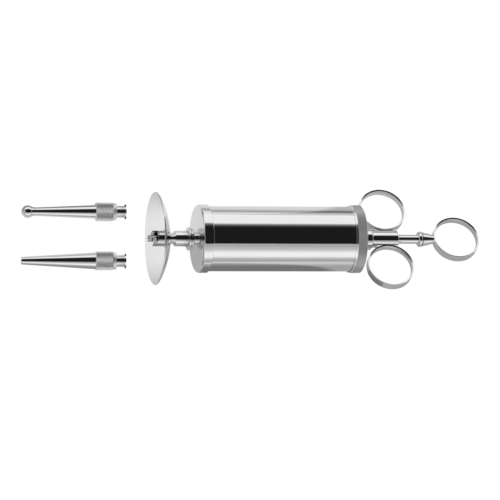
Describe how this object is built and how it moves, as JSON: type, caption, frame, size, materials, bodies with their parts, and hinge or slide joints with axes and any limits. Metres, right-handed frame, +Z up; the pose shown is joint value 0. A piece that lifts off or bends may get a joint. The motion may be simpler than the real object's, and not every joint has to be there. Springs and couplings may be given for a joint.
{
  "type": "ear syringe",
  "caption": "Metal ear syringe with finger rings, a thumb ring, a sliding piston, a splash shield and loose olive and cone ear tips.",
  "frame": {"origin": "on the table, below the middle of everything: halfway between the tips' front ends and the thumb ring, and below the syringe's axis", "axes": "+X runs from the nozzle and the loose tips towards the thumb ring, +Z is up from the table, and +Y is the side of the olive tip and of the finger ring that touches the table"},
  "size_m": [0.2848, 0.0618, 0.057],
  "materials": {
    "chrome": "polished chrome plate",
    "knurled": "knurled chrome plate",
    "brass": "turned brass",
    "rubber": "matt black rubber",
    "fibre": "pressed fibre"
  },
  "bodies": {
    "barrel": {"barrel_tube": "chrome", "front_cap": "chrome", "nozzle_body": "chrome", "nozzle_nut": "brass", "lock_collar": "chrome", "nozzle_cone": "chrome"},
    "shield": {"splash_shield": "chrome", "shield_ferrule": "chrome"},
    "gasket": {"cap_gasket": "fibre"},
    "ring_cap": {"rear_cap": "knurled", "rod_guide": "chrome", "ring_saddle_right": "chrome", "ring_saddle_left": "chrome", "finger_ring_right": "chrome", "finger_ring_left": "chrome"},
    "piston": {"front_cup": "rubber", "rear_cup": "rubber"},
    "plunger": {"piston_nut": "brass", "front_disc": "brass", "cup_spreader": "brass", "rear_disc": "brass", "piston_rod": "chrome", "ring_stem": "chrome", "thumb_ring": "chrome"},
    "olive_tip": {"olive_ball": "chrome", "olive_shaft": "chrome", "olive_grip": "knurled", "olive_lock": "chrome"},
    "cone_tip": {"cone_shaft": "chrome", "cone_grip": "knurled", "cone_lock": "chrome"}
  },
  "joints": [
    {"name": "plunger_slide", "type": "slide", "parent": "barrel", "child": "piston", "axis": [0.9983, 0, -0.0579], "range_m": [-0.0018, 0.085]},
    {"name": "plunger_turn", "type": "hinge", "parent": "piston", "child": "plunger", "pos_m": [0.12765, 0, 0.0174], "axis": [0.9983, 0, -0.0579], "continuous": true},
    {"name": "cap_travel", "type": "slide", "parent": "barrel", "child": "gasket", "axis": [0.9983, 0, -0.0579], "range_m": [0, 0.004]},
    {"name": "cap_screw", "type": "hinge", "parent": "gasket", "child": "ring_cap", "pos_m": [0.06585, 0, 0.02099], "axis": [0.9983, 0, -0.0579], "range_deg": [0, 1810]},
    {"name": "shield_slide", "type": "slide", "parent": "barrel", "child": "shield", "axis": [-0.9983, 0, 0.0579], "range_m": [0, 0.0115]},
    {"name": "olive_tip_lift", "type": "slide", "parent": "barrel", "child": "olive_tip", "axis": [0, 0, 1], "range_m": [0, 0.03]},
    {"name": "cone_tip_lift", "type": "slide", "parent": "barrel", "child": "cone_tip", "axis": [0, 0, 1], "range_m": [0, 0.03]}
  ],
  "couplings": [
    {"joint": "cap_screw", "follows": "cap_travel", "rad_per_m": 7854}
  ]
}
